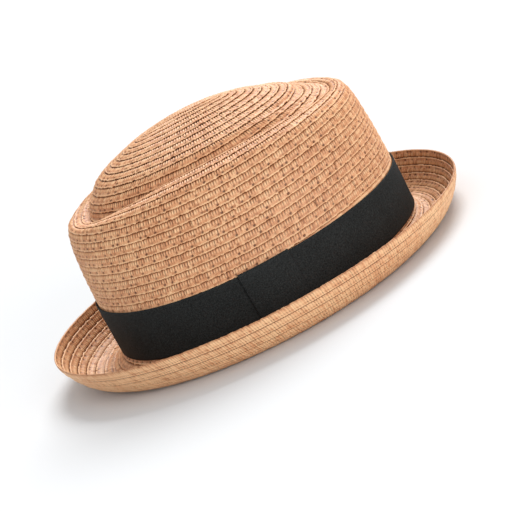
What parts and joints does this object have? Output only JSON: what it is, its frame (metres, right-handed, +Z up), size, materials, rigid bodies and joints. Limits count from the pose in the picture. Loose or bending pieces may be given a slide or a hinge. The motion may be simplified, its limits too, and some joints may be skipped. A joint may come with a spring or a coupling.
{
  "type": "straw hat with ribbon band",
  "caption": "Sewn straw braid hat with a raised oval tip, a narrow brim rolled up all round, and a black ribbon band with a flat keeper.",
  "frame": {"origin": "on the resting plane, under the middle of the whole hat's length and width", "axes": "+Z up, front of the hat at -Y, wearer's left at +X"},
  "size_m": [0.2398, 0.2806, 0.1277],
  "materials": {
    "straw_braid": "warm tan sewn paper-straw braid, matt with a slight waxy sheen on the raised strands",
    "band_ribbon": "black fine-ribbed ribbon, dull with a faint sheen"
  },
  "bodies": {
    "root": {"crown": "straw_braid", "brim": "straw_braid", "hat_band": "band_ribbon", "band_keeper": "band_ribbon"}
  },
  "joints": []
}
